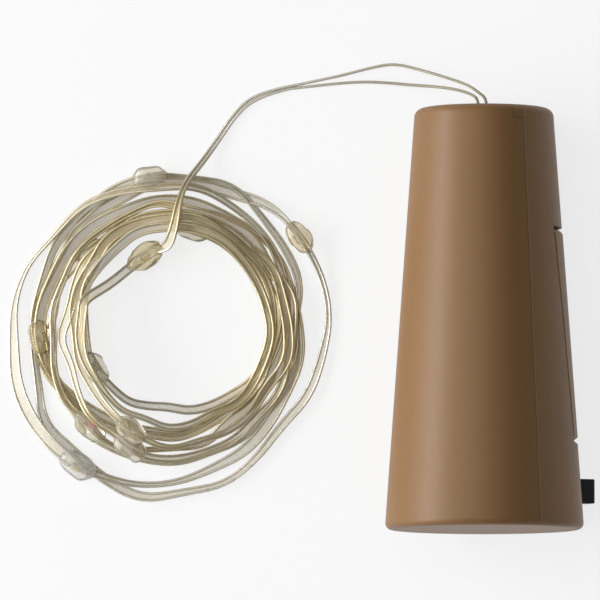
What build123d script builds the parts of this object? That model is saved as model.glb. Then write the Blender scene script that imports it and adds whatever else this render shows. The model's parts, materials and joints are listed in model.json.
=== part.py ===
from build123d import *
import math
import os

# Cork-shaped bottle light lying on its side, with its light string coiled flat beside it.
# The cork is modelled about its own axis: Z runs from the wide face to the small end and
# X points out through the battery cover. It is laid down at the end. Millimetres throughout.

# Cork: its width follows the cells, about 22 mm at the wide face and 15.3 mm at the small end
cork_length = 46.6
cork_half_angle = 4.11
wall = 1.3
wide_wall = 1.5
nose_wall = 1.8
wide_edge_radius = 0.7
narrow_edge_radius = 1.0
exit_hole_dia = 2.0

# How the cork lies: the cover's direction, measured round the axis from straight up
cover_roll = 113.0
seam_roll = 33.5
seam_groove = 0.18
tongue_width = 1.3
tongue_height = 1.6
tongue_gap = 0.04

# Pegs that line the two shells up
boss_dia = 2.6
boss_length = 2.4
peg_dia = 1.2
peg_length = 1.5
peg_clearance = 0.05
peg_wide_height = 5.6
peg_nose_depth = 6.0
boss_inset = 0.9

# Battery cover and the rebate that it sits in
cover_ledge = 0.55
cover_thickness = 1.0
cover_proud = 0.05
cover_gap = 0.1
cover_seat_gap = 0.1
cover_chamfer_axial = 0.39
cover_chamfer_depth = 0.5
cover_end_radius = 0.5
rebate_wide_chamfer = (0.33, 0.28)
rebate_narrow_draft = (0.83, 0.24)
skirt_depth = 1.0
skirt_thickness = 0.8
skirt_gap = 0.15

# Button cells and their bay
cell_dia = 11.6
cell_height = 5.4
cell_count = 3
cell_can_wall = 0.3
cell_seal_width = 0.4
cell_cap_step = 0.3
cell_lip = (0.2, 0.55)
cell_shoulder = 0.9
cell_edge = 0.4
cell_offset = 1.0
bay_clearance = 0.25
bay_wall = 1.0
bay_wide_wall = 1.2
bay_nose_wall = 1.5
bay_space = 1.85
plate_thickness = 0.3
plate_width = 8.0
plate_depth = 7.0
dimple_height = 0.5
dimple_dia = 3.2
tab_width = 1.8
tab_clearance = 0.1
positive_tab_length = 1.5
spring_room = 3.4
spring_wire = 0.45
spring_turns = 3.0
spring_base_radius = 3.3
spring_top_radius = 1.3
spring_seat_gap = 0.04

# Slide switch
switch_length = 7.2
switch_width = 3.6
switch_depth = 3.3
switch_setback = 0.35
switch_pad = 2.05
frame_wall = 0.3
switch_fit = 0.05
base_thickness = 0.9
terminal_pitch = 2.2
terminal_width = 1.0
terminal_thickness = 0.5
terminal_tail = 2.0
terminal_head = 0.2
switch_travel = 2.0
lever_length = 2.7
lever_width = 1.6
lever_proud = 2.32
lever_edge_radius = 0.25
slider_length = 4.2
slider_width = 2.6
slider_thickness = 1.0
slider_gap = 0.1
slot_clearance = 0.15
wiper_thickness = 0.25
wiper_width = 1.6
wiper_foot = 0.8
wiper_gap = 0.06
pocket_wall = 1.0

# Resistor and inner wiring
resistor_length = 3.3
resistor_dia = 1.7
resistor_waist = 1.35
resistor_lead_dia = 0.5
resistor_lead_length = 1.5
feed_wire_dia = 0.8
feed_clearance = 0.235
feed_bend_radius = 1.6
splice_skin = 0.2
splice_length = 3.0
splice_gap = 1.0
glue_dia = 4.4
glue_length = 3.0

# Light string: two insulated wires side by side
wire_dia = 0.33
pair_dia = 2 * wire_dia
exit_pitch = 0.45
exit_offset = 0.15
coil_centre = (-35.8, -1.6)
coil_inner_radius = 10.2
coil_pitch = 1.65
coil_layer_step = 1.6
coil_lower_height = 1.05
coil_start_angle = 165.0
coil_out_turns = 4.75
coil_turns = 9.76
drop_length = 4.5
drop_dia = 2.0
drop_tip_dia = 0.86
chip_size = (1.0, 0.6, 0.5)
chip_rise = 0.2
# Drops on the coil, in turns from its start, about nine centimetres of string apart
drop_turns = (1.117, 2.253, 3.217, 4.178, 5.228, 6.039, 6.911, 7.789, 8.644, 9.755)

# The free leads in the laid frame, from where they have left the small end
upper_lead_points = (
    (-1.2, 25.15, 7.45), (-2.4, 26.05, 7.4), (-4.9, 26.95, 7.4), (-7.8, 27.85, 7.45),
    (-10.6, 28.55, 7.4), (-13.4, 28.0, 7.3), (-16.2, 27.25, 7.2), (-19.0, 26.65, 7.1),
    (-21.6, 26.1, 7.0),
)
lower_lead_points = (
    (-2.25, 25.3, 7.35), (-3.7, 25.65, 7.25), (-5.8, 25.95, 7.15), (-8.5, 26.1, 7.1),
    (-11.4, 26.4, 7.0), (-14.2, 26.5, 6.95), (-17.0, 26.3, 6.9), (-19.6, 26.0, 6.9),
    (-22.0, 25.75, 6.95),
)
merge_point = (-24.0, 25.4, 6.9)
pair_points = (
    (-26.3, 24.75, 6.8), (-28.4, 22.7, 6.8), (-30.1, 20.1, 6.9), (-31.9, 17.5, 7.0),
    (-33.7, 14.9, 7.0), (-35.0, 12.1, 6.6),
)
# The first drop hangs in the middle of this stretch
first_drop_leg = ((-36.3, 9.75, 5.9), (-38.3, 8.0, 5.0))
last_pair_points = ((-40.5, 6.6, 4.1), (-43.0, 5.15, 3.2))
lead_fillet_share = 0.45
coil_entry_run = 2.5
merge_run = 1.2
exit_run = 1.1

lie = math.radians(cork_half_angle)
roll = math.radians(cover_roll)
taper = math.tan(lie)
seam_angle = seam_roll - cover_roll
switch_start = wide_wall + switch_setback
switch_middle = switch_start + switch_length / 2
bay_radius = cell_dia / 2 + bay_clearance
bay_start = switch_start + switch_length + bay_space
cells_start = bay_start + plate_thickness + spring_room
bay_end = cells_start + cell_count * cell_height + dimple_height + plate_thickness
cover_start = bay_start - bay_wide_wall
cover_end = bay_end + bay_nose_wall
cover_width = 2 * (bay_radius + cover_ledge)
# The feed wire passes between the bay and the cork's wall, tightest where the bay ends
feed_room = feed_wire_dia + 2 * feed_clearance
wide_radius = bay_radius + bay_wall - cell_offset + feed_room + wall + taper * cover_end
narrow_radius = wide_radius - taper * cork_length
switch_front = wide_radius - taper * (switch_start + switch_length) - switch_pad
switch_back = switch_front - switch_depth
lever_start = switch_middle - switch_travel / 2 - lever_length / 2
lever_reach = wide_radius + lever_proud - taper * lever_start
terminal_tip = switch_back - terminal_tail
glue_low = cork_length - nose_wall - glue_length
splice_low = cover_end + splice_gap
reach = 3 * cork_length


def radius_at(z):
    return wide_radius - taper * z


def block(low, high):
    """Box between two opposite corners."""
    size = [b - a for a, b in zip(low, high)]
    middle = [(a + b) / 2 for a, b in zip(low, high)]
    return Pos(*middle) * Box(*size)


def turned(points):
    """Solid of revolution about Z from (radius, height) corners."""
    outline = Polyline(*[(r, 0, z) for r, z in points], close=True)
    return revolve(make_face(outline), Axis.Z)


def tube(path, diameter):
    """Round tube along a path of lines and arcs."""
    return sweep(Plane(path @ 0, z_dir=path % 0) * Circle(diameter / 2), path=path)


def filleted(points):
    """Route through points, each corner as round as its shorter run allows."""
    vectors = [Vector(*p) for p in points]
    radii = []
    for before, here, after in zip(vectors, vectors[1:], vectors[2:]):
        turn = math.radians((here - before).get_angle(after - here))
        shorter = min((here - before).length, (after - here).length)
        radii.append(lead_fillet_share * shorter / math.tan(turn / 2))
    return FilletPolyline(*vectors, radius=radii), radii


def biarc(start, start_heading, end, end_heading):
    """Two tangent arcs between two points with given headings."""
    v = end - start
    t = start_heading + end_heading
    bend = 2 * (1 - start_heading.dot(end_heading))
    along = v.dot(t)
    d = (math.sqrt(along * along + bend * v.dot(v)) - along) / bend
    middle = (start + end + (start_heading - end_heading) * d) * 0.5
    first = Edge.make_tangent_arc(start, start_heading, middle)
    return [first, Edge.make_tangent_arc(middle, first % 1, end)]


def wound(point_at, turns, diameter):
    """Tube wound along point_at(turn) on quarter-turn biarcs, with straight ends."""
    small = 1e-4
    count = math.ceil(turns * 4)
    stops = [turns * i / count for i in range(count + 1)]
    places = [Vector(*point_at(s)) for s in stops]
    headings = [(Vector(*point_at(s + small)) - Vector(*point_at(s - small))).normalized() for s in stops]
    edges = [Edge.make_line(places[0] - headings[0] * diameter, places[0])]
    for i in range(count):
        edges += biarc(places[i], headings[i], places[i + 1], headings[i + 1])
    edges.append(Edge.make_line(places[-1], places[-1] + headings[-1] * diameter))
    path = Wire(edges)
    return tube(path, diameter), path


def least_gap(point_at, turns, diameter):
    """Least clear gap between stretches of a winding that are half a turn or more apart."""
    steps = 72
    points = [point_at(i / steps) for i in range(int(turns * steps) + 1)]
    nearest = min(
        math.dist(p, q)
        for i, p in enumerate(points)
        for q in points[i + steps // 2:]
    )
    return nearest - diameter


def cone_body():
    """The cork's outer shape."""
    body = turned([(0, 0), (wide_radius, 0), (narrow_radius, cork_length), (0, cork_length)])
    body = fillet(body.edges().filter_by(GeomType.CIRCLE).sort_by(Axis.Z)[0], wide_edge_radius)
    return fillet(body.edges().filter_by(GeomType.CIRCLE).sort_by(Axis.Z)[-1], narrow_edge_radius)


def inside_cone():
    """The hollow of the cork."""
    top = cork_length - nose_wall
    return turned([
        (0, wide_wall), (radius_at(wide_wall) - wall, wide_wall), (radius_at(top) - wall, top), (0, top),
    ])


def upright(radius, low, high):
    return Pos(0, 0, low) * Cylinder(radius, high - low, align=(Align.CENTER, Align.CENTER, Align.MIN))


def cover_slab(grow):
    """Slab as wide as the cover, on its side of the axis."""
    half = cover_width / 2 + grow
    return block((0, -half, -cork_length), (reach, half, 2 * cork_length))


def rebate_cut():
    """Recess for the cover, with the lead-in that makes a V notch at each end."""
    seat = cover_thickness + cover_seat_gap
    wide_r, narrow_r = radius_at(cover_start), radius_at(cover_end)
    wide_depth, wide_run = rebate_wide_chamfer
    narrow_depth, narrow_run = rebate_narrow_draft
    ring = turned([
        (wide_r - seat, cover_start),
        (narrow_r - seat, cover_end),
        (narrow_r - narrow_depth, cover_end),
        (narrow_r + wall, cover_end + narrow_run * (1 + wall / narrow_depth)),
        (wide_r + wall, cover_start - wide_run * (1 + wall / wide_depth)),
        (wide_r - wide_depth, cover_start),
    ])
    return ring & cover_slab(cover_gap)


def bay_shape(radius, low, high):
    """U-shaped prism round the row of cells, open towards the cover."""
    round_part = Pos(cell_offset, 0, 0) * upright(radius, low, high)
    return round_part + block((cell_offset, -radius, low), (2 * wide_radius, radius, high))


def bay_trough():
    """Outside of the battery bay's walls, kept within the cork's own wall."""
    middle = wall / 2
    bound = turned([
        (0, wide_wall), (radius_at(wide_wall) - middle, wide_wall),
        (radius_at(cover_end + wall) - middle, cover_end + wall), (0, cover_end + wall),
    ])
    return bay_shape(bay_radius + bay_wall, cover_start, cover_end) & bound


def tab(low, high, side, grow=0.0):
    """Solder tab of a contact plate; side is +1 towards the cover, -1 towards the back."""
    edge = cell_offset + side * plate_depth / 2
    near, far = sorted((edge, edge - side * plate_thickness))
    half = tab_width / 2 + grow
    return block((near - grow, -half, low), (far + grow, half, high))


def switch_pocket():
    """Flat pad and two walls that hold the slide switch."""
    half = switch_width / 2 + switch_fit
    outer = half + pocket_wall
    switch_end = switch_start + switch_length
    pocket = block((switch_front, -outer, wide_wall), (wide_radius, outer, cover_start)) & cone_body()
    for side in (1, -1):
        low, high = sorted((side * half, side * outer))
        pocket += block((switch_back, low, switch_start), (switch_front, high, switch_end))
    return pocket


def lever_slot():
    low = lever_start - slot_clearance
    high = lever_start + lever_length + switch_travel + slot_clearance
    half = lever_width / 2 + slot_clearance
    return block((switch_front - frame_wall, -half, low), (reach, half, high))


def seam_side(gap):
    """Everything on the cover's side of the seam, with the tongue at the small end."""
    side = block((-reach, 0, -cork_length), (reach, reach, 2 * cork_length))
    tongue = block(
        (narrow_radius - wall, gap - tongue_width, cork_length - tongue_height + gap),
        (wide_radius, tongue_width, cork_length + tongue_height),
    )
    return Rot(0, 0, seam_angle) * (side + tongue)


def seam_lines():
    """Fine V groove along the seam, on both sides of the cork."""
    bar = Rot(0, 0, 45) * Box(seam_groove, seam_groove, reach)
    line = Pos((wide_radius + narrow_radius) / 2, 0, cork_length / 2) * Rot(0, -cork_half_angle, 0) * bar
    return Rot(0, 0, seam_angle) * (line + Rot(0, 0, 180) * line)


def peg_places():
    """Where the pegs cross the seam, pointing to the cover's side."""
    for z in (peg_wide_height, cork_length - peg_nose_depth):
        for side in (1, -1):
            inset = side * (radius_at(z) - wall - boss_inset)
            yield Rot(0, 0, seam_angle) * Pos(inset, 0, z) * Rot(-90, 0, 0)


def skin():
    """The cork as a hollow shell, before it is split."""
    hole = upright(exit_hole_dia / 2, cork_length - 2 * nose_wall, cork_length + nose_wall)
    return cone_body() - inside_cone() - hole - seam_lines()


def plain_shell():
    shell = skin() - seam_side(0)
    for place in peg_places():
        shell += place * upright(boss_dia / 2, -boss_length, 0) & cone_body()
        shell += place * upright(peg_dia / 2, -peg_length, peg_length)
    return shell


def battery_shell():
    shell = (skin() & seam_side(tongue_gap)) + bay_trough() + switch_pocket()
    for place in peg_places():
        shell += place * upright(boss_dia / 2, 0, boss_length) & cone_body()
        shell -= place * upright(peg_dia / 2 + peg_clearance, -peg_length, peg_length + peg_clearance)
    shell -= bay_shape(bay_radius, bay_start, bay_end)
    shell -= rebate_cut()
    shell -= lever_slot()
    shell -= tab(switch_back, bay_start, 1, tab_clearance)
    return shell - tab(bay_end, cork_length - nose_wall, -1, tab_clearance)


def battery_cover():
    """Curved cover with a chamfer at the wide end, a round edge at the other and two skirts."""
    low, high = cover_start + cover_gap, cover_end - cover_gap
    low_r, high_r = radius_at(low) + cover_proud, radius_at(high) + cover_proud
    bend = cover_end_radius * (1 - math.sqrt(0.5))
    outline = Polyline(
        (high_r - cover_end_radius, 0, high),
        (high_r - cover_thickness, 0, high),
        (low_r - cover_thickness, 0, low),
        (low_r - cover_chamfer_depth, 0, low),
        (radius_at(low + cover_chamfer_axial) + cover_proud, 0, low + cover_chamfer_axial),
        (radius_at(high - cover_end_radius) + cover_proud, 0, high - cover_end_radius),
    )
    corner = ThreePointArc(outline @ 1, (high_r - bend, 0, high - bend), outline @ 0)
    cover = revolve(make_face(outline + corner), Axis.Z) & cover_slab(0)
    skirt_ring = turned([
        (radius_at(bay_start) - cover_thickness - skirt_depth, bay_start + skirt_gap),
        (radius_at(bay_start) - cover_thickness + cover_proud, bay_start + skirt_gap),
        (radius_at(bay_end) - cover_thickness + cover_proud, bay_end - skirt_gap),
        (radius_at(bay_end) - cover_thickness - skirt_depth, bay_end - skirt_gap),
    ])
    outer = bay_radius - skirt_gap
    for side in (1, -1):
        low_y, high_y = sorted((side * outer, side * (outer - skirt_thickness)))
        cover += skirt_ring & block((0, low_y, 0), (reach, high_y, cork_length))
    return cover


def cell_parts(index):
    """One button cell, cap towards the wide end: steel can, seal and cap."""
    base = cells_start + index * cell_height
    top = base + cell_height
    can_r = cell_dia / 2
    bore = can_r - cell_can_wall
    cap_r = bore - cell_seal_width
    face_r = cap_r - cell_cap_step
    lip_r = face_r + cell_seal_width
    lip_low, lip_high = base + cell_lip[0], base + cell_lip[1]
    shoulder = base + cell_shoulder
    roof = top - cell_can_wall
    can = turned([
        (lip_r, lip_low), (lip_r, lip_high), (bore, shoulder), (bore, roof), (0, roof), (0, top),
        (can_r - cell_edge, top), (can_r, top - cell_edge),
        (can_r, lip_low + cell_edge), (can_r - cell_edge, lip_low),
    ])
    seal = turned([
        (face_r, lip_low), (lip_r, lip_low), (lip_r, lip_high), (bore, shoulder), (bore, roof),
        (cap_r, roof), (cap_r, shoulder), (face_r, shoulder),
    ])
    cap = turned([
        (0, base), (face_r, base), (face_r, shoulder), (cap_r, shoulder), (cap_r, roof), (0, roof),
    ])
    seat = Pos(cell_offset, 0, 0)
    return {"cell_can": seat * can, "cell_seal": seat * seal, "cell_cap": seat * cap}


def contact_plate(low):
    back, front = cell_offset - plate_depth / 2, cell_offset + plate_depth / 2
    return block((back, -plate_width / 2, low), (front, plate_width / 2, low + plate_thickness))


def negative_plate():
    terminal_top = switch_middle + terminal_pitch + terminal_thickness / 2
    return contact_plate(bay_start) + tab(terminal_top, bay_start + plate_thickness, 1)


def positive_plate():
    low = bay_end - plate_thickness
    dimple = Pos(cell_offset, 0, low) * Rot(180, 0, 0) * Cone(
        dimple_dia / 2, dimple_dia / 4, dimple_height, align=(Align.CENTER, Align.CENTER, Align.MIN)
    )
    return contact_plate(low) + dimple + tab(low, cover_end + positive_tab_length, -1)


def spring_point(turn):
    """Centre of the spring's wire, closing in as it climbs."""
    share = turn / spring_turns
    radius = spring_base_radius + (spring_top_radius - spring_base_radius) * share
    room = spring_wire / 2 + spring_seat_gap
    low, high = bay_start + plate_thickness + room, cells_start - room
    angle = 2 * math.pi * turn
    return cell_offset + radius * math.cos(angle), radius * math.sin(angle), low + (high - low) * share


def switch_frame():
    half = switch_width / 2
    outer = block((switch_back, -half, switch_start), (switch_front, half, switch_start + switch_length))
    inner = block(
        (switch_back, frame_wall - half, switch_start + frame_wall),
        (switch_front - frame_wall, half - frame_wall, switch_start + switch_length - frame_wall),
    )
    return outer - inner - lever_slot()


def terminal_posts():
    return [
        block(
            (terminal_tip, -terminal_width / 2, z - terminal_thickness / 2),
            (switch_back + base_thickness + terminal_head, terminal_width / 2, z + terminal_thickness / 2),
        )
        for z in (switch_middle - terminal_pitch, switch_middle, switch_middle + terminal_pitch)
    ]


def switch_base():
    inset = frame_wall + switch_fit
    half = switch_width / 2 - inset
    base = block(
        (switch_back, -half, switch_start + inset),
        (switch_back + base_thickness, half, switch_start + switch_length - inset),
    )
    for post in terminal_posts():
        base -= post
    return base


def switch_lever():
    """Black lever on the slider that runs inside the switch."""
    middle = lever_start + lever_length / 2
    top = switch_front - frame_wall - slider_gap
    slider = block(
        (top - slider_thickness, -slider_width / 2, middle - slider_length / 2),
        (top, slider_width / 2, middle + slider_length / 2),
    )
    post = block(
        (top, -lever_width / 2, lever_start), (lever_reach, lever_width / 2, lever_start + lever_length)
    )
    post = fillet(post.faces().sort_by(Axis.X)[-1].edges(), lever_edge_radius)
    return slider + post


def switch_wiper():
    """Bowed strip under the slider that bridges two terminals."""
    middle = lever_start + lever_length / 2
    roof = switch_front - frame_wall - slider_gap - slider_thickness
    floor = switch_back + base_thickness + terminal_head + wiper_gap
    toe = terminal_pitch / 2 + wiper_foot / 2
    heel = toe - wiper_foot
    crown = heel / 2
    under = [(-toe, floor), (-heel, floor), (-crown, roof - wiper_thickness)]
    top = floor + wiper_thickness
    slope = wiper_thickness / 2
    over = [(-crown - slope, roof), (-heel - slope, top), (-toe, top)]
    corners = under + [(-z, x) for z, x in reversed(under)] + [(-z, x) for z, x in reversed(over)] + over
    outline = Polyline(*[(x, 0, middle + z) for z, x in corners], close=True)
    return extrude(make_face(outline), wiper_width / 2, dir=(0, 1, 0), both=True)


def along_x(points):
    """Solid of revolution about the resistor's axis from (place on X, radius) corners."""
    outline = Polyline(*[(x, 0, switch_middle + r) for x, r in points], close=True)
    return revolve(make_face(outline), Axis((0, 0, switch_middle), (1, 0, 0)))


resistor_front = terminal_tip - resistor_lead_length
resistor_back = resistor_front - resistor_length
feed_start = resistor_back - resistor_lead_length


def resistor():
    """Small axial resistor with a cap at each end."""
    cap = resistor_length / 4
    end, waist = resistor_dia / 2, resistor_waist / 2
    return along_x([
        (resistor_back, 0), (resistor_back, end), (resistor_back + cap, end),
        (resistor_back + cap, waist), (resistor_front - cap, waist),
        (resistor_front - cap, end), (resistor_front, end), (resistor_front, 0),
    ])


def resistor_leads():
    r = resistor_lead_dia / 2
    spans = ((resistor_front, terminal_tip), (feed_start, resistor_back))
    return [along_x([(a, 0), (a, r), (b, r), (b, 0)]) for a, b in spans]


def exit_place(side):
    """Where a wire leaves the small end, left or right of the axis as the cork lies."""
    offset = side * exit_pitch - exit_offset
    return offset * math.sin(roll), offset * math.cos(roll)


def feed_line(z):
    """Point on the feed wire's run along the back of the cork, clear of the wall."""
    return -(radius_at(z) - wall - feed_clearance - feed_wire_dia / 2), 0, z


def inner_wires():
    """Feed wire behind the bay, its splice, and the string's two tails inside the nose."""
    splice_high = splice_low + splice_length
    splice_middle = (splice_low + splice_high) / 2
    left, right = exit_place(-1), exit_place(1)
    feed = tube(FilletPolyline(
        (feed_start, 0, switch_middle), feed_line(switch_middle), feed_line(splice_middle),
        radius=feed_bend_radius,
    ), feed_wire_dia)
    feed_tail = tube(FilletPolyline(
        feed_line(splice_middle), feed_line(splice_high + wire_dia),
        (*left, glue_low + glue_length / 2), (*left, cork_length), radius=2 * wire_dia,
    ), wire_dia)
    tab_tip = cover_end + positive_tab_length
    tab_middle = cell_offset - plate_depth / 2 + plate_thickness / 2
    positive_tail = tube(FilletPolyline(
        (tab_middle, 0, tab_tip), (tab_middle, 0, tab_tip + 3 * wire_dia),
        (*right, glue_low - 3 * wire_dia), (*right, cork_length), radius=2 * wire_dia,
    ), wire_dia)
    splice_line = Line(feed_line(splice_low), feed_line(splice_high))
    sleeve = tube(splice_line, feed_wire_dia + 2 * splice_skin) - feed - feed_tail
    glue = upright(glue_dia / 2, glue_low, cork_length - nose_wall)
    glue = fillet(glue.edges().sort_by(Axis.Z)[0], glue_length / 3) - feed_tail - positive_tail
    return {
        "feed_wire": feed, "feed_tail": feed_tail, "positive_tail": positive_tail,
        "splice_sleeve": sleeve, "glue_plug": glue,
    }


def coil_point(turn):
    """Centre of the string: out on the upper layer, down in half a turn, in again below."""
    fall = coil_out_turns + 0.5
    edge = coil_inner_radius + coil_pitch * coil_out_turns
    upper = coil_lower_height + coil_layer_step
    if turn <= coil_out_turns:
        radius, height = coil_inner_radius + coil_pitch * turn, upper
    elif turn < fall:
        share = (turn - coil_out_turns) * 2
        radius = edge + coil_pitch / 2 * (share - share ** 2)
        height = upper - coil_layer_step * (3 * share ** 2 - 2 * share ** 3)
    else:
        radius, height = edge - coil_pitch * (turn - fall), coil_lower_height
    angle = math.radians(coil_start_angle) + 2 * math.pi * turn
    return coil_centre[0] + radius * math.cos(angle), coil_centre[1] + radius * math.sin(angle), height


def led(place, heading, string):
    """Resin drop round the string and the chip that sits on the wires inside it."""
    up = (Vector(0, 0, 1) - heading * heading.Z).normalized()
    seat = Plane(origin=place, x_dir=heading, z_dir=up)
    half, tip = drop_length / 2, drop_tip_dia / 2
    bow = ThreePointArc((-half, tip, 0), (0, drop_dia / 2, 0), (half, tip, 0))
    ends = Polyline((half, tip, 0), (half, 0, 0), (-half, 0, 0), (-half, tip, 0))
    drop = seat.location * revolve(make_face(bow + ends), Axis.X)
    length, width, height = chip_size
    chip = block((-length / 2, -width / 2, chip_rise), (length / 2, width / 2, chip_rise + height))
    chip = seat.location * chip
    return drop - string - chip, chip - string


def lay_down(pieces):
    """Plane that lays the cork on its side with the middle of its box over the origin."""
    axis = (0, math.cos(lie), -math.sin(lie))
    cover_way = (math.sin(roll), math.cos(roll) * math.sin(lie), math.cos(roll) * math.cos(lie))
    height = wide_radius * math.cos(lie)
    trial = Plane(origin=(0, 0, height), x_dir=cover_way, z_dir=axis)
    middle = Compound([trial.location * piece for piece in pieces]).bounding_box().center()
    return Plane(origin=(-middle.X, -middle.Y, height), x_dir=cover_way, z_dir=axis)


def free_leads(laid):
    """The two single wires from the small end to where they join, and the pair up to the coil."""
    merge = Vector(*merge_point)
    heading = (Vector(*pair_points[0]) - merge).normalized()
    aside = Vector(0, 0, 1).cross(heading).normalized() * (wire_dia / 2)
    tubes = {}
    for name, side, points in (("upper", 1, upper_lead_points), ("lower", -1, lower_lead_points)):
        start = laid.from_local_coords(Vector(*exit_place(side), cork_length))
        end = merge - aside * side
        route = [start, start + laid.z_dir * exit_run, *points, end - heading * merge_run, end]
        tubes["lead_wire_" + name] = route
    first = Vector(*coil_point(0))
    coil_way = (Vector(*coil_point(1e-4)) - first).normalized()
    end = first - coil_way * pair_dia
    tubes["lead_pair"] = [
        merge, *pair_points, *first_drop_leg, *last_pair_points, end - coil_way * coil_entry_run, end,
    ]
    solids = {}
    for name, route in tubes.items():
        thickness = pair_dia if name == "lead_pair" else wire_dia
        path, radii = filleted(route)
        solids[name] = tube(path, thickness)
        share = solids[name].volume / (math.pi * thickness ** 2 / 4 * path.length)
        print(name, "length %.1f" % path.length, "volume share %.4f" % share)
        print("  radii", ["%.1f" % r for r in radii])
    return solids


def build():
    nodes = {
        "plain_shell": plain_shell(), "battery_shell": battery_shell(), "battery_cover": battery_cover(),
    }
    for index in range(cell_count):
        for name, piece in cell_parts(index).items():
            nodes["%s_%d" % (name, index + 1)] = piece
    nodes["negative_plate"] = negative_plate()
    nodes["positive_plate"] = positive_plate()
    nodes["negative_spring"], spring_path = wound(spring_point, spring_turns, spring_wire)
    nodes["switch_frame"] = switch_frame()
    nodes["switch_base"] = switch_base()
    nodes["switch_terminals"] = Compound(terminal_posts())
    nodes["switch_lever"] = switch_lever()
    nodes["switch_wiper"] = switch_wiper()
    nodes["resistor"] = resistor()
    nodes["resistor_leads"] = Compound(resistor_leads())
    nodes.update(inner_wires())
    outside = ("plain_shell", "battery_shell", "battery_cover", "switch_lever")
    laid = lay_down([nodes[name] for name in outside])
    nodes = {name: laid.location * piece for name, piece in nodes.items()}

    nodes.update(free_leads(laid))
    coil, coil_path = wound(coil_point, coil_turns, pair_dia)
    nodes["string_coil"] = coil
    coil_gap = least_gap(coil_point, coil_turns, pair_dia)
    spring_gap = least_gap(spring_point, spring_turns, spring_wire)
    print("coil length %.1f" % coil_path.length, "least gap %.2f" % coil_gap)
    print("spring length %.1f" % spring_path.length, "least gap %.2f" % spring_gap)

    before, after = Vector(*first_drop_leg[0]), Vector(*first_drop_leg[1])
    places = [((before + after) * 0.5, (after - before).normalized(), nodes["lead_pair"])]
    for turn in drop_turns:
        here, ahead = Vector(*coil_point(turn)), Vector(*coil_point(turn + 1e-4))
        places.append((here, (ahead - here).normalized(), coil))
    for number, (place, heading, string) in enumerate(places, 1):
        nodes["led_drop_%02d" % number], nodes["led_chip_%02d" % number] = led(place, heading, string)
    return laid, nodes


laid_plane, part_nodes = build()
os.makedirs("parts", exist_ok=True)
for node_name, node in part_nodes.items():
    export_step(node, os.path.join("parts", node_name + ".step"))
print("cork laid at", laid_plane.origin, "axis", laid_plane.z_dir, "cover way", laid_plane.x_dir)
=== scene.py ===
import bmesh
import bpy
import json
import math
import numpy as np
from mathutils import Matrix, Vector


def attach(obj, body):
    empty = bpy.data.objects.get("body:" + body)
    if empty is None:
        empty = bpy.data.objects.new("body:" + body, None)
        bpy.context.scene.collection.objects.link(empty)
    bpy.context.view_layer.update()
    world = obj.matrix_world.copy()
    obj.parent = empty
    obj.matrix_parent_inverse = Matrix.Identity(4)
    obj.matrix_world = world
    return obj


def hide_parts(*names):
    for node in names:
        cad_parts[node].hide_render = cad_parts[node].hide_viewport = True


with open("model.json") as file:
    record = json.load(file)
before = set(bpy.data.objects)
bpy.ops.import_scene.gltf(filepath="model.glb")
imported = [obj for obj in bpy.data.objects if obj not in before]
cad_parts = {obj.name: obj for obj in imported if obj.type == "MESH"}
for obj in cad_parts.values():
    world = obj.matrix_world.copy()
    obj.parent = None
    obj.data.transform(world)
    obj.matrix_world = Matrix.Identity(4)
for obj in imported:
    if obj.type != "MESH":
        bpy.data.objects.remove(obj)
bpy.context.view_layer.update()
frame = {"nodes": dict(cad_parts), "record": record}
scene = bpy.context.scene
print("frame loaded:", len(frame["nodes"]), "nodes")


def tint(red, green, blue):  # a screen colour, 0 to 255, as Blender's linear colour
    linear = [c / 255 / 12.92 if c <= 10 else ((c / 255 + 0.055) / 1.055) ** 2.4 for c in (red, green, blue)]
    return (*linear, 1.0)


class Val:  # a shader socket that can be used in sums
    def __init__(self, finish, node, socket):
        self.finish, self.node, self.socket = finish, node, socket

    def out(self, name):
        return Val(self.finish, self.node, self.node.outputs[name])

    def __add__(self, other):
        return self.finish.maths("ADD", self, other)

    def __radd__(self, other):
        return self.finish.maths("ADD", other, self)

    def __sub__(self, other):
        return self.finish.maths("SUBTRACT", self, other)

    def __rsub__(self, other):
        return self.finish.maths("SUBTRACT", other, self)

    def __mul__(self, other):
        return self.finish.maths("MULTIPLY", self, other)

    def __rmul__(self, other):
        return self.finish.maths("MULTIPLY", other, self)

    def __gt__(self, other):
        return self.finish.maths("GREATER_THAN", self, other)


class ShaderTree:  # the nodes of a material or of the world
    def __init__(self, tree, outlet):
        self.tree = tree
        self.tree.nodes.clear()
        self.outlet = self.tree.nodes.new(outlet)

    def put(self, node, key, value):
        if isinstance(value, Val):
            self.tree.links.new(value.socket, node.inputs[key])
        else:
            node.inputs[key].default_value = value

    def node(self, kind, settings, sockets, output=0):
        node = self.tree.nodes.new(kind)
        for key, value in settings.items():
            if key == "stops":
                for i, (spot, colour) in enumerate(value):
                    stop = node.color_ramp.elements[i] if i < 2 else node.color_ramp.elements.new(spot)
                    stop.position, stop.color = spot, colour
            else:
                setattr(node, key, value)
        for key, value in sockets.items():
            self.put(node, key, value)
        return Val(self, node, node.outputs[output])

    def maths(self, operation, first, second):
        return self.node("ShaderNodeMath", {"operation": operation}, {0: first, 1: second})

    def show(self, surface):
        self.put(self.outlet, "Surface", surface)


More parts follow.
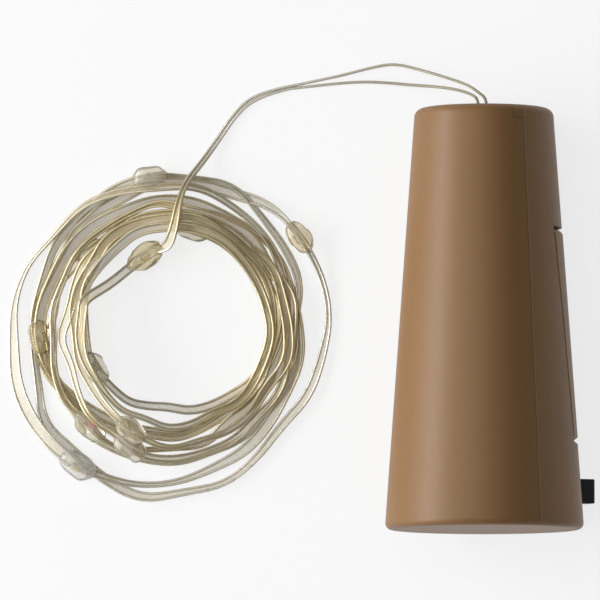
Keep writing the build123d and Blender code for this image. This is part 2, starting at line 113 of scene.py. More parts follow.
class Finish(ShaderTree):  # one material and its nodes
    def __init__(self, name, **constants):
        self.material = bpy.data.materials.new(name)
        self.material.use_nodes = True
        super().__init__(self.material.node_tree, "ShaderNodeOutputMaterial")
        self.surface = self.node("ShaderNodeBsdfPrincipled", {}, constants, "BSDF")
        self.show(self.surface)
        self.place = self.node("ShaderNodeTexCoord", {}, {}, "Object")

    def noise(self, scale, detail=2.0, rough=0.5, where=None):
        sockets = {"Vector": where or self.place, "Scale": scale, "Detail": detail, "Roughness": rough}
        return self.node("ShaderNodeTexNoise", {}, sockets, "Fac")

    def stretched(self, factors):
        return self.node("ShaderNodeMapping", {}, {"Vector": self.place, "Scale": factors})

    def blend(self, factor, first, second):
        settings = {"data_type": "RGBA", "clamp_factor": True}
        return self.node("ShaderNodeMix", settings, {0: factor, 6: first, 7: second}, 2)

    def bump(self, height, depth, strength=1.0):
        sockets = {"Height": height, "Distance": depth, "Strength": strength}
        return self.node("ShaderNodeBump", {}, sockets, "Normal")

    def shade(self, **sockets):
        for key, value in sockets.items():
            self.put(self.surface.node, key.replace("_", " "), value)
        return self.material


# camera straight above, as the cork and its string were laid out
viewFrom = {
    "middle": (-0.02102, 0.00221), "height": 1.2, "width": 0.06636, "sensor": 36.0,
    "level": 0.008, "farthest": 10,  # the level that the width is measured at, and how far the camera sees
}
cameraData = bpy.data.cameras.new("shotCamera")
cameraData.sensor_width = viewFrom["sensor"]
cameraData.lens = viewFrom["sensor"] * viewFrom["height"] / viewFrom["width"]
cameraData.clip_end = viewFrom["farthest"]
camera = bpy.data.objects.new("shotCamera", cameraData)
camera.location = (*viewFrom["middle"], viewFrom["height"] + viewFrom["level"])
scene.collection.objects.link(camera)
scene.camera = camera
scene.view_settings.view_transform = "Standard"
print("camera set, lens", round(cameraData.lens))


# the light string in millimetres: two wires, first apart, then side by side, then coiled
string = {
    "wire": 0.33, "sides": 8, "exitRun": 1.1, "mergeRun": 1.2, "entryRun": 1.4, "steps": 5, "seed": 7,
    "axis": (0.0, 0.997428, -0.071672),
    "upperExit": (-0.3715, 23.3661, 7.6303), "lowerExit": (-1.2715, 23.3661, 7.6303),
    "upper": [(-1.2, 25.15, 7.1), (-2.4, 26.05, 5.9), (-4.9, 26.95, 3.3), (-7.8, 27.85, 1.35),
              (-10.6, 28.55, 0.5), (-13.4, 28.0, 0.27), (-16.2, 27.25, 0.22), (-19.0, 26.65, 0.2),
              (-21.6, 26.1, 0.2)],
    "lower": [(-2.25, 25.1, 6.7), (-3.7, 25.55, 5.2), (-5.8, 25.9, 3.0), (-8.5, 26.1, 1.2),
              (-11.4, 26.4, 0.45), (-14.2, 26.5, 0.25), (-17.0, 26.3, 0.21), (-19.6, 26.0, 0.2),
              (-22.0, 25.75, 0.2)],
    "merge": (-24.0, 25.4, 0.2),
    "pair": [(-26.3, 24.75, 0.2), (-28.4, 22.7, 0.22), (-30.1, 20.1, 0.35), (-31.9, 17.5, 0.8),
             (-33.8, 15.2, 2.2), (-34.6, 12.6, 3.4), (-35.0, 10.2, 3.8), (-35.7, 8.1, 2.6),
             (-37.0, 8.0, 1.6), (-39.6, 6.1, 1.15), (-42.2, 3.9, 2.4)],
    # how far the two wires part and roll, as waves: shortest, longest, how many
    "startRun": 6.0, "roll": 0.28, "rollWaves": (9, 42, 5),
    "parting": 0.34, "partWaves": (3, 11, 4), "partMean": 0.66, "partSwing": 0.3, "partLeast": 0.12,
    "gapes": [(5.97, 0.24, 11.0), (5.07, 0.3, 10.0)],  # the turns that gape most, how far and for how long
    # how near a neighbour counts as crowding, the string's own stretch that doesn't, and the most points
    "crowdNear": 1.6, "crowdOwn": 6, "crowdFull": 14, "crowdSmooth": 9,
    "dullFrom": 10.0, "dullRun": 14.0,  # where the dull stretch of each lead starts to fade, and over how far
}
coil = {
    "middle": (-35.8, -1.6), "startAngle": 165.0, "turns": 9.77, "perTurn": 24, "fine": 6,
    # how far each loose turn reaches, every eighth of it from the left side on
    "reach": [
        (9.7, 9.5, 9.9, 10.7, 11.5, 12.1, 12.3, 10.7),
        (9.0, 8.5, 8.4, 10.1, 12.1, 12.7, 13.0, 11.6),
        (10.3, 10.6, 12.6, 12.6, 13.4, 13.6, 13.7, 12.2),
        (11.5, 12.1, 13.8, 13.7, 14.2, 14.3, 14.5, 13.4),
        (12.6, 13.7, 13.2, 12.4, 13.0, 15.4, 16.5, 17.0),
        (17.6, 18.1, 16.8, 14.9, 14.8, 15.0, 15.2, 14.6),
        (14.2, 12.4, 11.3, 11.4, 12.5, 13.2, 13.3, 12.7),
        (13.1, 14.0, 14.6, 14.5, 14.7, 16.6, 17.9, 16.0),
        (15.3, 16.9, 18.4, 16.3, 17.9, 18.4, 17.2, 15.4),
        (14.7, 12.0, 10.6, 11.0, 12.0, 12.1, 11.9, 11.9),
    ],
    # uneven winding: how far, how many waves, how many bends in a turn, and how soon it starts
    "wobble": 0.42, "waves": 6, "bends": (1.3, 11.5), "onset": 4,
    # how steeply the string climbs, how far it smooths itself, and the stretch that can't lie on itself
    "slope": 0.16, "smooth": 2.2, "ownRun": 6, "rounds": 14,
    "halfHeight": (0.22, 1.35), "halfWidth": (0.62, 1.0),  # of the bare pair, and at a drop
}
drop = {
    # the two places of the pair that the first drop sits between, and where on the coil the others are
    "onPair": (8, 9),
    "turns": [1.113, 2.237, 3.243, 4.182, 5.194, 6.042, 6.911, 7.809, 8.645, 9.761],
    "length": 4.2, "width": 2.6, "flat": 0.68, "tip": 0.5, "least": 0.04, "rows": 20, "sides": 20,
    "tipCurve": (6, 0.5), "bodyCurve": (2.7, 0.72),  # powers that shape the ends and the belly
    "uneven": 0.275, "lumpScale": 620.0, "lumpDetail": 1.0, "lumpMiddle": 0.56,
    "growth": [1.1, 0.98, 0.98, 1.0, 1.06, 1.1, 0.95, 0.9, 1.0, 1.0, 1.0],
    "milk": [0.15, 0.8, 0.5, 0.7, 0.6, 1.0, 0.1, 0.3, 0.65, 0.3, 0.5],
    "red": [0, 0, 0, 0, 1, 0, 0, 0, 0, 0, 0],
    "tilt": [20, 35, 50, 200, 25, -60, 75, 30, 185, 150, 25],  # how far each chip rolled round the string
}
millimetre = 0.001
wholeTurn = 6.28  # radians, near enough for random waves
nothing = -1e3  # a height below everything


def reachAt(turn):  # smooth reach of the loose turns, through the eighths of each
    eighths = [r for row in coil["reach"] for r in row]
    spot = (turn * 360 + coil["startAngle"] - 180) / 45
    i = math.floor(spot)
    share = spot - i
    a, b, c, d = (eighths[min(max(i + k, 0), len(eighths) - 1)] for k in (-1, 0, 1, 2))
    return b + share / 2 * (c - a + share * (2 * a - 5 * b + 4 * c - d + share * (3 * (b - c) + d - a)))


def layCoil():
    rng = np.random.default_rng(string["seed"])
    count = int(coil["turns"] * coil["perTurn"]) * coil["fine"] + 1
    turns = np.linspace(0, coil["turns"], count)
    waves = [(rng.uniform(*coil["bends"]), rng.uniform(0, wholeTurn)) for _ in range(coil["waves"])]
    wobble = sum(np.sin(turns * wholeTurn * k + p) for k, p in waves) * coil["wobble"] / 2
    radius = np.array([reachAt(t) for t in turns]) + wobble * np.clip(turns * coil["onset"], 0, 1)
    angle = np.radians(coil["startAngle"]) + 2 * np.pi * turns
    x = coil["middle"][0] + radius * np.cos(angle)
    y = coil["middle"][1] + radius * np.sin(angle)
    run = np.concatenate([[0], np.cumsum(np.hypot(np.diff(x), np.diff(y)))])
    # half height and half width of the string, swelling at each drop
    swell = np.zeros(count)
    for t in drop["turns"]:
        away = np.abs(run - np.interp(t, turns, run)) / (drop["length"] / 2)
        swell = np.maximum(swell, np.clip(1 - away ** 2, 0, 1))
    tall, wide = (thin + (fat - thin) * swell for thin, fat in (coil["halfHeight"], coil["halfWidth"]))
    # each stretch lies on the floor or on what was laid before it, from the far end on
    gap = np.hypot(x[:, None] - x[None, :], y[:, None] - y[None, :]) / (wide[:, None] + wide[None, :])
    later = (run[None, :] - run[:, None]) > coil["ownRun"]
    over = (tall[:, None] + tall[None, :]) * np.sqrt(np.maximum(1 - gap ** 2, 0))
    rise = np.where(later & (gap < 1), over, nothing)
    steep = coil["slope"] * np.abs(run[:, None] - run[None, :])
    soft = np.exp(-((run[:, None] - run[None, :]) / coil["smooth"]) ** 2)
    soft /= soft.sum(1, keepdims=True)
    height = tall.copy()
    for _ in range(coil["rounds"]):
        need = np.maximum((height[None, :] + rise).max(1), tall)
        height = soft @ (need[None, :] - steep).max(1)
    return turns, np.stack([x, y, height], 1)


turnMarks, coilLine = layCoil()
print("coil laid, highest %.2f mm" % coilLine[:, 2].max())


def routeLine(name, points):  # points along the NURBS spline of a route
    curve = bpy.data.curves.new(name, "CURVE")
    curve.dimensions = "3D"
    spline = curve.splines.new("NURBS")
    spline.points.add(len(points) - 1)
    for spot, place in zip(spline.points, points):
        spot.co = (*(Vector(place) * millimetre), 1)
    spline.order_u = 3
    spline.use_endpoint_u = True
    spline.resolution_u = string["steps"]
    holder = bpy.data.objects.new(name, curve)
    scene.collection.objects.link(holder)
    mesh = bpy.data.meshes.new_from_object(holder)
    line = np.array([v.co for v in mesh.vertices])
    bpy.data.objects.remove(holder)
    bpy.data.curves.remove(curve)
    bpy.data.meshes.remove(mesh)
    return line


def headings(line):
    step = np.gradient(line, axis=0)
    return step / np.linalg.norm(step, axis=1, keepdims=True)


def stringLines():
    merge, axis = Vector(string["merge"]), Vector(string["axis"])
    ahead = (Vector(string["pair"][0]) - merge).normalized()
    aside = Vector((0, 0, 1)).cross(ahead).normalized() * (string["wire"] / 2)
    singles = []
    for name, side in (("upper", 1), ("lower", -1)):
        start, end = Vector(string[name + "Exit"]), merge - aside * side
        out, join = start + axis * string["exitRun"], end - ahead * string["mergeRun"]
        singles.append(routeLine(name + "Single", [start, out, *string[name], join, end]))
    turnsLine = coilLine[::coil["fine"]]
    first = Vector(turnsLine[0])
    way = (Vector(turnsLine[1]) - first).normalized()
    route = [merge, *string["pair"], first - way * string["entryRun"], *turnsLine]
    return singles, routeLine("pairedWires", route)


singleLines, pairLine = stringLines()
pairWay = headings(pairLine)
pairRun = np.concatenate([[0], np.cumsum(np.linalg.norm(np.diff(pairLine, axis=0), axis=1))])
flatSide = np.cross([0, 0, 1], pairWay)
flatSide /= np.linalg.norm(flatSide, axis=1, keepdims=True)
rng = np.random.default_rng(string["seed"])
runMm = pairRun / millimetre


def waves(short, long, count):  # a slow random wave along the string
    return sum(np.sin(runMm / rng.uniform(short, long) + rng.uniform(0, wholeTurn)) for _ in range(count))


def turnIndex(turn):  # the point of the paired wires at a place on the coil
    place = np.array([np.interp(turn, turnMarks, coilLine[:, k]) for k in range(3)]) * millimetre
    return int(np.argmin(np.linalg.norm(pairLine - place, axis=1)))


started = np.clip(runMm / string["startRun"], 0, 1)
roll = waves(*string["rollWaves"]) * string["roll"] * started
gape = sum(wide * np.exp(-((runMm - runMm[turnIndex(turn)]) / length) ** 2)
           for turn, wide, length in string["gapes"])
parted = string["partMean"] + string["partSwing"] * waves(*string["partWaves"])
apart = (np.clip(parted, string["partLeast"], 1) * string["parting"] + gape) * started
sideways = flatSide * np.cos(roll)[:, None] + np.cross(pairWay, flatSide) * np.sin(roll)[:, None]
sideways *= ((string["wire"] / 2 + apart) * millimetre)[:, None]
halfWire = string["wire"] / 2 * millimetre
strandLines = [np.concatenate([singleLines[i][:-1], pairLine - side * sideways])
               for i, side in ((0, 1), (1, -1))]
for line in strandLines:  # no wire below the floor
    line[:, 2] = np.maximum(line[:, 2], halfWire)
# how crowded the string lies, from 0 where it is alone to 1 among the turns; it sets the painted shade on the
# wires and on the sheet between them
between = np.linalg.norm(pairLine[:, None, :2] - pairLine[None, :, :2], axis=2)
nearby = between < string["crowdNear"] * millimetre
others = np.abs(runMm[:, None] - runMm[None, :]) > string["crowdOwn"]
crowd = (nearby & others).sum(1) / string["crowdFull"]
crowd = np.clip(np.convolve(crowd, np.ones(string["crowdSmooth"]) / string["crowdSmooth"], "same"), 0, 1)


def newGroup(name, inputs):  # an empty geometry tree with named inputs
    group = bpy.data.node_groups.new(name, "GeometryNodeTree")
    group.interface.new_socket("Geometry", in_out="INPUT", socket_type="NodeSocketGeometry")
    for label, kind, value in inputs:
        socket = group.interface.new_socket(label, in_out="INPUT", socket_type=kind)
        if value is not None:
            socket.default_value = value
    group.interface.new_socket("Geometry", in_out="OUTPUT", socket_type="NodeSocketGeometry")
    return group, group.nodes.new("NodeGroupInput"), group.nodes.new("NodeGroupOutput")


def addNode(group, kind, settings, sockets):
    node = group.nodes.new(kind)
    for key, value in settings.items():
        setattr(node, key, value)
    for key, value in sockets.items():
        if isinstance(value, bpy.types.NodeSocket):
            group.links.new(value, node.inputs[key])
        else:
            node.inputs[key].default_value = value
    return node


def grown(name, mesh, group, values):  # the plain mesh that a geometry tree makes from another
    base = bpy.data.objects.new(name + "Base", mesh)
    scene.collection.objects.link(base)
    modifier = base.modifiers.new(name, "NODES")
    modifier.node_group = group
    for item in group.interface.items_tree:
        if item.in_out == "INPUT" and item.name in values:
            modifier[item.identifier] = values[item.name]
    bpy.context.view_layer.update()
    result = bpy.data.meshes.new_from_object(base.evaluated_get(bpy.context.evaluated_depsgraph_get()))
    bpy.data.objects.remove(base)
    result.name = name
    piece = bpy.data.objects.new(name, result)
    scene.collection.objects.link(piece)
    return piece


def wireTree(material):
    group, given, result = newGroup("wireAlongLine", [
        ("Wire Radius", "NodeSocketFloat", halfWire), ("Sides", "NodeSocketInt", string["sides"])])
    line = addNode(group, "GeometryNodeMeshToCurve", {}, {"Mesh": given.outputs["Geometry"]})
    ring = addNode(group, "GeometryNodeCurvePrimitiveCircle", {}, {
        "Resolution": given.outputs["Sides"], "Radius": given.outputs["Wire Radius"]})
    tube = addNode(group, "GeometryNodeCurveToMesh", {}, {
        "Curve": line.outputs[0], "Profile Curve": ring.outputs["Curve"], "Fill Caps": True})
    smooth = addNode(group, "GeometryNodeSetShadeSmooth", {}, {"Geometry": tube.outputs[0]})
    plain = addNode(group, "GeometryNodeRealizeInstances", {}, {"Geometry": smooth.outputs[0]})
    painted = addNode(group, "GeometryNodeSetMaterial", {}, {
        "Geometry": plain.outputs[0], "Material": material})
    group.links.new(painted.outputs[0], result.inputs[0])
    return group


def champagneWire():
    finish = Finish("champagneWire")
    patch = finish.noise(190, 2)
    worn = finish.noise(420, 2)
    crowdShade = finish.node("ShaderNodeAttribute", {"attribute_name": "crowd"}, {}, "Fac")
    # painted shade: among the turns the wires take a darker, warmer tint for the shade between crowded turns
    colour = finish.blend(crowdShade, finish.blend(patch, tint(196, 190, 173), tint(230, 226, 213)),
                          finish.blend(patch, tint(184, 167, 124), tint(220, 206, 166)))
    colour = finish.blend((worn - 0.5) * 0.9, colour, tint(152, 143, 118))
    lead = finish.node("ShaderNodeAttribute", {"attribute_name": "lead"}, {}, "Fac")  # duller near the cork
    colour = finish.blend(lead, colour, tint(140, 134, 112))
    return finish.shade(Base_Color=colour, Metallic=(0.5 + 0.3 * patch) * (1 - 0.8 * lead),
                        Roughness=0.22 + 0.14 * worn + 0.2 * lead,
                        Coat_Weight=0.4 - 0.35 * lead, Coat_Roughness=0.12)


def makeString():
    mesh = bpy.data.meshes.new("stringLines")
    spots = [tuple(p) for line in strandLines for p in line]
    split = len(strandLines[0])
    edges = [(i, i + 1) for i in range(len(spots) - 1) if i != split - 1]
    mesh.from_pydata(spots, edges, [])
    crowds, dulls = [], []
    for line in singleLines:
        leadRun = np.cumsum(np.linalg.norm(np.diff(line, axis=0), axis=1)) / millimetre
        crowds += [np.zeros(len(leadRun)), crowd]
        dulls += [np.clip(1 - (leadRun - string["dullFrom"]) / string["dullRun"], 0, 1), np.zeros(len(crowd))]
    for name, values in (("crowd", crowds), ("lead", dulls)):
        values = np.concatenate(values).astype(np.float32)
        mesh.attributes.new(name, "FLOAT", "POINT").data.foreach_set("value", values)
    sizes = {"Wire Radius": halfWire, "Sides": string["sides"]}
    piece = grown("lightString", mesh, wireTree(champagneWire()), sizes)
    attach(piece, "housing")
    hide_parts("lead_wire_upper", "lead_wire_lower", "lead_pair", "string_coil")
    return piece


# a thin tinted sheet between the two wires, painted shade: it stands for the shaded ground seen between them,
# darker and denser among the turns
shadeSheet = {"thick": 0.03, "reach": 0.94, "alpha": 0.36, "crowdShadeAlpha": 0.5}


def paintedShadeSheet():
    finish = Finish("paintedShadeSheet")
    haze = finish.noise(500, 3)
    crowdShade = finish.node("ShaderNodeAttribute", {"attribute_name": "crowd"}, {}, "Fac")
    # painted shade: a beige that is darker and more opaque among the turns, for the shade between the wires
    colour = finish.blend(crowdShade, finish.blend(haze, tint(214, 204, 176), tint(198, 186, 156)),
                          finish.blend(haze, tint(206, 190, 152), tint(190, 174, 136)))
    alpha = shadeSheet["alpha"] + (shadeSheet["crowdShadeAlpha"] - shadeSheet["alpha"]) * crowdShade
    return finish.shade(Base_Color=colour, Roughness=0.22 + 0.2 * haze, Alpha=alpha)


def makeShadeSheet():
    upward = np.cross(pairWay, sideways)
    upward *= shadeSheet["thick"] / 2 * millimetre / np.linalg.norm(upward, axis=1, keepdims=True)
    across = sideways * shadeSheet["reach"]
    shifts = (across + upward, upward - across, -across - upward, across - upward)
    corners = np.stack([pairLine + shift for shift in shifts], 1)
    corners[:, :, 2] = np.maximum(corners[:, :, 2], halfWire)
    corners[:, 2:, 2] -= shadeSheet["thick"] / 4 * millimetre
    last = len(corners) - 1
    faces = [(4 * i + k, 4 * i + (k + 1) % 4, 4 * i + (k + 1) % 4 + 4, 4 * i + k + 4)
             for i in range(last) for k in range(4)]
    faces += [(3, 2, 1, 0), tuple(4 * last + k for k in range(4))]
    mesh = bpy.data.meshes.new("stringWeb")
    mesh.from_pydata(corners.reshape(-1, 3).tolist(), [], faces)
    shape = bmesh.new()
    shape.from_mesh(mesh)
    bmesh.ops.recalc_face_normals(shape, faces=shape.faces)
    shape.to_mesh(mesh)
    shape.free()
    values = np.repeat(crowd, 4).astype(np.float32)
    mesh.attributes.new("crowd", "FLOAT", "POINT").data.foreach_set("value", values)
    mesh.materials.append(paintedShadeSheet())
    piece = bpy.data.objects.new("stringWeb", mesh)
    scene.collection.objects.link(piece)
    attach(piece, "housing")
    return piece


lightString = makeString()
stringWeb = makeShadeSheet()
print("string made:", len(lightString.data.polygons), "faces, web", len(stringWeb.data.polygons))


# resin drops and the chips in them, set on the string where the lights are
def dropPlaces(rolled):
    near, far = (Vector(string["pair"][i]) for i in drop["onPair"])
    leg = (near + far) * 0.5 * millimetre
    found = [int(np.argmin(np.linalg.norm(pairLine - np.array(leg), axis=1)))]
    found += [turnIndex(turn) for turn in drop["turns"]]
    mesh = bpy.data.meshes.new("dropPlaces")
    mesh.from_pydata([tuple(pairLine[i]) for i in found], [], [])
    heading = mesh.attributes.new("heading", "FLOAT_VECTOR", "POINT")
    heading.data.foreach_set("vector", np.concatenate([pairWay[i] for i in found]).astype(np.float32))
    tilt = np.radians(drop["tilt"])[:, None] * rolled
    upward = np.cross(pairWay[found], flatSide[found]) * np.cos(tilt) + flatSide[found] * np.sin(tilt)
    crown = mesh.attributes.new("crown", "FLOAT_VECTOR", "POINT")
    crown.data.foreach_set("vector", upward.ravel().astype(np.float32))
    for name in ("growth", "milk", "red"):
        mesh.attributes.new(name, "FLOAT", "POINT").data.foreach_set("value", drop[name])
    return mesh


def dropShape():
    half, fat, tip = drop["length"] / 2, drop["width"] / 2, drop["tip"] / 2
    (tipFall, tipRound), (bodyFall, bodyRound) = drop["tipCurve"], drop["bodyCurve"]
    shape = bmesh.new()
    rings = []
    for i in range(drop["rows"] + 1):
        spot = -math.cos(math.pi * i / drop["rows"])
        radius = tip * (1 - abs(spot) ** tipFall) ** tipRound
        radius += (fat - tip) * (1 - abs(spot) ** bodyFall) ** bodyRound
        radius = max(radius, drop["least"] / 2)
        ring = []
        for k in range(drop["sides"]):
            turn = 2 * math.pi * k / drop["sides"]
            across = Vector((0, radius * math.cos(turn), radius * math.sin(turn) * drop["flat"]))
            ring.append(shape.verts.new((across + Vector((spot * half, 0, 0))) * millimetre))
        rings.append(ring)
    for near, far in zip(rings, rings[1:]):
        for k in range(drop["sides"]):
            shape.faces.new((near[k - 1], far[k - 1], far[k], near[k]))
    shape.faces.new(rings[0])
    shape.faces.new(list(reversed(rings[-1])))
    bmesh.ops.recalc_face_normals(shape, faces=shape.faces)
    mesh = bpy.data.meshes.new("dropShape")
    shape.to_mesh(mesh)
    shape.free()
    mesh.shade_smooth()
    return mesh


def alongStringTree(name, material):
    group, given, result = newGroup(name, [
        ("Shape", "NodeSocketObject", None), ("Uneven", "NodeSocketFloat", 0.0)])
    source = addNode(group, "GeometryNodeObjectInfo", {}, {"Object": given.outputs["Shape"]})
    heading, crown, growth = (
        addNode(group, "GeometryNodeInputNamedAttribute", {"data_type": kind}, {"Name": label})
        for label, kind in (("heading", "FLOAT_VECTOR"), ("crown", "FLOAT_VECTOR"), ("growth", "FLOAT")))
    facing = addNode(group, "FunctionNodeAlignRotationToVector", {"axis": "X"}, {
        "Vector": heading.outputs[0]})
    upright = addNode(group, "FunctionNodeAlignRotationToVector", {"axis": "Z", "pivot_axis": "X"}, {
        "Rotation": facing.outputs[0], "Vector": crown.outputs[0]})
    spots = addNode(group, "GeometryNodeMeshToPoints", {}, {"Mesh": given.outputs["Geometry"]})
    copies = addNode(group, "GeometryNodeInstanceOnPoints", {}, {
        "Points": spots.outputs[0], "Instance": source.outputs["Geometry"],
        "Rotation": upright.outputs[0], "Scale": growth.outputs[0]})
    plain = addNode(group, "GeometryNodeRealizeInstances", {}, {"Geometry": copies.outputs[0]})
    # every drop sets with its own lumps
    lumps = addNode(group, "ShaderNodeTexNoise", {}, {
        "Scale": drop["lumpScale"], "Detail": drop["lumpDetail"]})
    centred = addNode(group, "ShaderNodeMath", {"operation": "SUBTRACT"}, {
        0: lumps.outputs[0], 1: drop["lumpMiddle"]})
    swell = addNode(group, "ShaderNodeMath", {"operation": "MULTIPLY"}, {
        0: centred.outputs[0], 1: given.outputs["Uneven"]})
    outward = addNode(group, "GeometryNodeInputNormal", {}, {})
    shift = addNode(group, "ShaderNodeVectorMath", {"operation": "SCALE"}, {
        0: outward.outputs[0], "Scale": swell.outputs[0]})
    lumpy = addNode(group, "GeometryNodeSetPosition", {}, {
        "Geometry": plain.outputs[0], "Offset": shift.outputs[0]})
    painted = addNode(group, "GeometryNodeSetMaterial", {}, {
        "Geometry": lumpy.outputs[0], "Material": material})
    group.links.new(painted.outputs[0], result.inputs[0])
    return group


def clearResin():
    finish = Finish("clearResin")
    cloud = finish.noise(800, 3)
    milk = finish.node("ShaderNodeAttribute", {"attribute_name": "milk"}, {}, "Fac")
    clear = finish.blend(cloud, tint(240, 228, 190), tint(230, 214, 170))
    colour = finish.blend(milk, clear, tint(246, 245, 240))
    return finish.shade(Base_Color=colour, Roughness=0.06 + 0.1 * cloud + 0.14 * milk,
                        Transmission_Weight=0.8, IOR=1.38,
                        Normal=finish.bump(finish.noise(900, 2), 0.0001, 0.3))


# a small board with the light's dome on it, told apart by an attribute
chip = {
    "board": {"size": (1.15, 0.8, 0.28), "lift": 0.30, "soft": 0.05, "dome": 0.0},
    "light": {"size": (0.78, 0.6, 0.26), "lift": 0.52, "soft": 0.11, "dome": 1.0},
}


def chipShape():
    shape = bmesh.new()
    layer = shape.verts.layers.float.new("dome")
    for part in chip.values():
        size, lift = part["size"], part["lift"]
        made = bmesh.ops.create_cube(shape, size=1.0)["verts"]
        for v in made:
            v.co = Vector((v.co.x * size[0], v.co.y * size[1], v.co.z * size[2] + lift)) * millimetre
        edges = list({e for v in made for e in v.link_edges})
        before = set(shape.verts) - set(made)
        soft = part["soft"] * millimetre
        bmesh.ops.bevel(shape, geom=edges, offset=soft, segments=2, affect="EDGES", profile=0.5)
        for v in set(shape.verts) - before:
            v[layer] = part["dome"]
    mesh = bpy.data.meshes.new("chipShape")
    shape.to_mesh(mesh)
    shape.free()
    return mesh


def phosphorChip():
    finish = Finish("phosphorChip")
    grain = finish.noise(6000, 2)
    dome = finish.node("ShaderNodeAttribute", {"attribute_name": "dome"}, {}, "Fac")
    red = finish.node("ShaderNodeAttribute", {"attribute_name": "red"}, {}, "Fac")
    phosphor = finish.blend(grain, tint(224, 212, 160), tint(206, 190, 134))
    phosphor = finish.blend(red, phosphor, tint(214, 70, 52))
    board = finish.blend(grain, tint(204, 200, 184), tint(180, 176, 160))
    return finish.shade(Base_Color=finish.blend(dome, board, phosphor), Roughness=0.35 + 0.2 * grain)


def makeDrops():
    made = []
    for name, shape, finish, slot, nodes in (
            ("resinDrops", dropShape(), clearResin(), "clear_resin", "led_drop_%02d"),
            ("lightChips", chipShape(), phosphorChip(), "led_chip", "led_chip_%02d")):
        uneven = drop["uneven"] * drop["width"] * millimetre if name == "resinDrops" else 0.0
        holder = bpy.data.objects.new(name + "Shape", shape)
        scene.collection.objects.link(holder)
        places, along = dropPlaces(name == "lightChips"), alongStringTree(name + "Along", finish)
        piece = grown(name, places, along, {"Shape": holder, "Uneven": uneven})
        bpy.data.objects.remove(holder)
        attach(piece, "housing")
        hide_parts(*[nodes % (i + 1) for i in range(len(drop["growth"]))])
        made.append(piece)
    return made


resinDrops, lightChips = makeDrops()
print("drops and chips set")


# the cork, its switch and what is inside keep their solids and get finishes
def brownPlastic():
    finish = Finish("brownPlastic")
    flow = finish.noise(45, 3, 0.55, finish.stretched((1, 0.35, 1)))
    fine = finish.noise(1500, 3)
    colour = finish.blend(flow, tint(117, 84, 47), tint(129, 94, 55))
    colour = finish.blend((fine - 0.62) * 1.2, colour, tint(104, 74, 42))
    skin = finish.noise(7000, 2) + 0.4 * finish.noise(900, 2)
    return finish.shade(Base_Color=colour, Roughness=0.4 + 0.1 * fine + 0.05 * flow,
                        Specular_IOR_Level=0.4, Normal=finish.bump(skin, 0.000012, 0.5))


def blackPlastic():
    finish = Finish("blackPlastic")
    grain = finish.noise(2600, 3)
    colour = finish.blend(grain, tint(16, 16, 17), tint(28, 28, 29))
    return finish.shade(Base_Color=colour, Roughness=0.4 + 0.15 * grain,
                        Normal=finish.bump(grain, 0.00001, 0.5))


def sheetMetal(name, light, dark, rough):
    finish = Finish(name)
    brush = finish.noise(1400, 3, 0.6, finish.stretched((1, 0.08, 1)))
    spot = finish.noise(300, 2)
    colour = finish.blend(brush, light, dark)
    return finish.shade(Base_Color=colour, Metallic=1.0, Roughness=rough + 0.18 * brush + 0.08 * spot,
                        Normal=finish.bump(brush, 0.00001, 0.4))


def softPlastic(name, light, dark, rough, scale=900):
    finish = Finish(name)
    mottle = finish.noise(scale, 3)
    colour = finish.blend(mottle, light, dark)
    return finish.shade(Base_Color=colour, Roughness=rough + 0.15 * mottle,
                        Normal=finish.bump(mottle, 0.00002, 0.4))


finishes = {
    "cork_plastic": brownPlastic(),
    "black_plastic": blackPlastic(),
    "contact_brass": sheetMetal("contactBrass", tint(214, 176, 96), tint(188, 146, 70), 0.24),
    "contact_steel": sheetMetal("contactSteel", tint(206, 206, 202), tint(168, 168, 166), 0.22),
    "cell_steel": sheetMetal("cellSteel", tint(220, 220, 218), tint(190, 190, 188), 0.16),
    "board_plastic": softPlastic("boardPlastic", tint(130, 92, 52), tint(104, 70, 38), 0.5),
    "resistor_body": softPlastic("resistorBody", tint(206, 180, 138), tint(188, 160, 116), 0.35),
    "wire_sleeve": softPlastic("wireSleeve", tint(40, 40, 42), tint(26, 26, 28), 0.45),
    "cell_seal": softPlastic("cellSeal", tint(52, 88, 66), tint(40, 70, 52), 0.45),
    "glue": softPlastic("setGlue", tint(232, 228, 214), tint(214, 208, 190), 0.2, 400),
    "string_film": bpy.data.materials["champagneWire"],
    "clear_resin": bpy.data.materials["clearResin"],
    "led_chip": bpy.data.materials["phosphorChip"],
}
for entry in frame["record"]["subparts"]:
    holder = frame["nodes"][entry["node"]].data
    holder.materials.clear()
    holder.materials.append(finishes[entry["material_slot"]])
print("finishes given")


# pale floor, white to the eye, with the shadow of what lies on it
ground = {"half": 1.5, "white": 0.86, "grey": 0.84, "speck": 30, "rough": 0.9, "shown": 0.78}


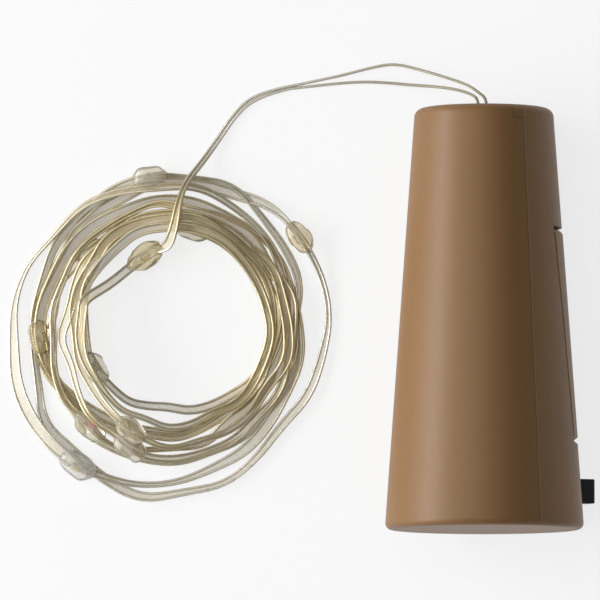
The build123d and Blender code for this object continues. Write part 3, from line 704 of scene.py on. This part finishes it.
def paleFloor():
    finish = Finish("paleFloor", Roughness=ground["rough"])
    path = finish.node("ShaderNodeLightPath", {}, {}, "Is Camera Ray")
    seen = (path + path.out("Is Glossy Ray") + path.out("Is Transmission Ray")) > 0.5
    glow = finish.node("ShaderNodeEmission", {}, {"Color": (1, 1, 1, 1), "Strength": 1.0})
    mix = finish.node("ShaderNodeMixShader", {}, {0: seen * ground["shown"], 1: finish.surface, 2: glow})
    finish.show(mix)
    white, grey = ((ground[name],) * 3 + (1,) for name in ("white", "grey"))
    return finish.shade(Base_Color=finish.blend(finish.noise(ground["speck"], 2), white, grey))


floorMesh = bpy.data.meshes.new("floor")
floorCorners = [(x * ground["half"], y * ground["half"], 0) for x, y in ((-1, -1), (1, -1), (1, 1), (-1, 1))]
floorMesh.from_pydata(floorCorners, [], [(0, 1, 2, 3)])
floorMesh.materials.append(paleFloor())
floor = bpy.data.objects.new("floor", floorMesh)
scene.collection.objects.link(floor)

lamps = {
    "keyLeft": {"at": (-0.42, 0.02, 0.17), "size": (0.5, 0.16), "power": 2.7},
    "fillRight": {"at": (0.5, -0.05, 0.12), "size": (0.4, 0.12), "power": 0.06},
    "overTop": {"at": (-0.25, 0.1, 0.7), "size": (0.5, 0.5), "power": 1.6},
}
lampAim = Vector((0, 0, 0.01))
for name, lamp in lamps.items():
    data = bpy.data.lights.new(name, "AREA")
    data.shape = "RECTANGLE"
    data.size, data.size_y = lamp["size"]
    data.energy = lamp["power"]
    light = bpy.data.objects.new(name, data)
    light.location = lamp["at"]
    light.rotation_euler = (lampAim - light.location).to_track_quat("-Z", "Y").to_euler()
    scene.collection.objects.link(light)


sky = {"stops": [(0.04, (0.7, 0.7, 0.7, 1)), (0.3, (0.16, 0.165, 0.17, 1))]}  # pale low down, dim overhead


def paleWorld():
    world = bpy.data.worlds.new("paleWorld")
    world.use_nodes = True
    air = ShaderTree(world.node_tree, "ShaderNodeOutputWorld")
    way = air.node("ShaderNodeTexCoord", {}, {}, "Generated")
    height = air.node("ShaderNodeSeparateXYZ", {}, {"Vector": way}, "Z")
    colour = air.node("ShaderNodeValToRGB", sky, {"Fac": height}, "Color")
    air.show(air.node("ShaderNodeBackground", {}, {"Color": colour}))
    scene.world = world


paleWorld()
print("stage lit")
